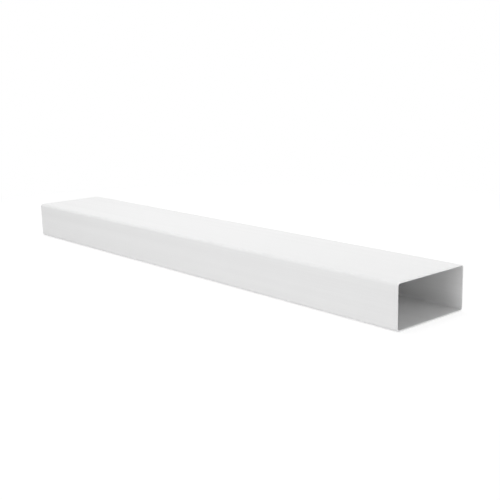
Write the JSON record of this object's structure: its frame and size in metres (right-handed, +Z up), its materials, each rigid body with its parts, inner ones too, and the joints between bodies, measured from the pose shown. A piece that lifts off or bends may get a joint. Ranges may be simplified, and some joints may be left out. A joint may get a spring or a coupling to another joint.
{
  "type": "flat channel air duct",
  "caption": "Straight length of flat rectangular air duct: a hollow rounded-rectangle plastic extrusion, open and sawn square at both ends, that carries air between fittings.",
  "frame": {"origin": "on the floor, under the middle of the duct", "axes": "+X along the duct, +Y across its width, +Z up"},
  "size_m": [1, 0.15, 0.07],
  "materials": {
    "white_pvc": "satin white rigid PVC, as extruded"
  },
  "bodies": {
    "root": {"flat_channel_duct": "white_pvc"}
  },
  "joints": []
}
